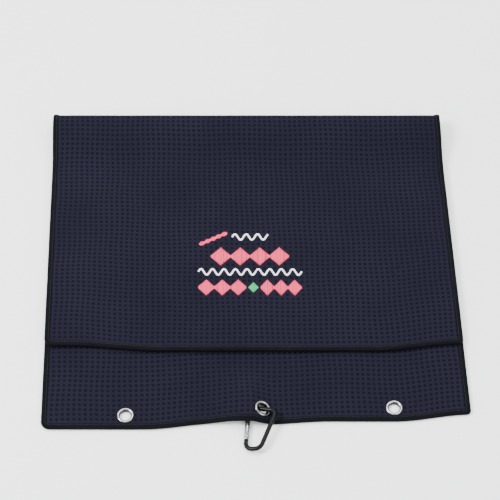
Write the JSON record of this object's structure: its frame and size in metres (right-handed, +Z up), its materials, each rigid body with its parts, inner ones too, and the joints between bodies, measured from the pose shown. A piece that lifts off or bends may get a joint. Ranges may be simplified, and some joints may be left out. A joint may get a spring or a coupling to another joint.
{
  "type": "golf towel",
  "caption": "Waffle-weave golf towel with a bound edge, folded over once, with a row of metal eyelets and a snap-gate carabiner clip.",
  "frame": {"origin": "middle of the bounding box of the folded towel, on the surface it lies on", "axes": "+Z up off the surface, +Y from the eyelet hem towards the fold, +X to the right along the hem"},
  "size_m": [0.4155, 0.3954, 0.022],
  "materials": {
    "waffle_cloth": "matt waffle weave",
    "binding_tape": "matt woven tape",
    "nickel": "polished nickel plate",
    "black_anodised": "satin black anodised aluminium",
    "bare_aluminium": "tumbled satin",
    "steel": "bright",
    "pink_thread": "satin stitch",
    "white_thread": "satin stitch",
    "green_thread": "satin stitch"
  },
  "bodies": {
    "towel": {"back_panel": "waffle_cloth", "back_binding": "binding_tape", "fold_roll": "waffle_cloth", "fold_binding_left": "binding_tape", "fold_binding_right": "binding_tape", "eyelet_left": "nickel", "eyelet_centre": "nickel", "eyelet_right": "nickel", "eyelet_washer_left": "nickel", "eyelet_washer_centre": "nickel", "eyelet_washer_right": "nickel"},
    "flap": {"front_flap": "waffle_cloth", "flap_binding": "binding_tape", "embroidery_pink_upper": "pink_thread", "embroidery_pink_lower_left": "pink_thread", "embroidery_pink_lower_right": "pink_thread", "embroidery_pink_sprig": "pink_thread", "embroidery_white_upper": "white_thread", "embroidery_white_middle": "white_thread", "embroidery_green_centre": "green_thread"},
    "carabiner": {"carabiner_frame": "black_anodised", "gate_hinge_rivet": "steel"},
    "gate": {"carabiner_gate": "bare_aluminium", "gate_latch_pin": "steel", "gate_plunger": "steel", "gate_spring": "steel"}
  },
  "joints": [
    {"name": "flap_fold", "type": "hinge", "parent": "towel", "child": "flap", "pos_m": [0, 0.18672, 0.011], "axis": [-1, 0, 0], "range_deg": [0, 183], "deforming": ["fold_roll", "fold_binding_left", "fold_binding_right"]},
    {"name": "carabiner_swivel", "type": "hinge", "parent": "towel", "child": "carabiner", "pos_m": [0.01027, -0.15401, 0.0066], "axis": [0, 0, 1], "range_deg": [-10, 8]},
    {"name": "gate_hinge", "type": "hinge", "parent": "carabiner", "child": "gate", "pos_m": [-0.00448, -0.18279, 0.0025], "axis": [0.2922, -0.0135, -0.9563], "range_deg": [0, 15], "stiffness_Nm_per_rad": 0.02, "springref_deg": -14.32}
  ]
}
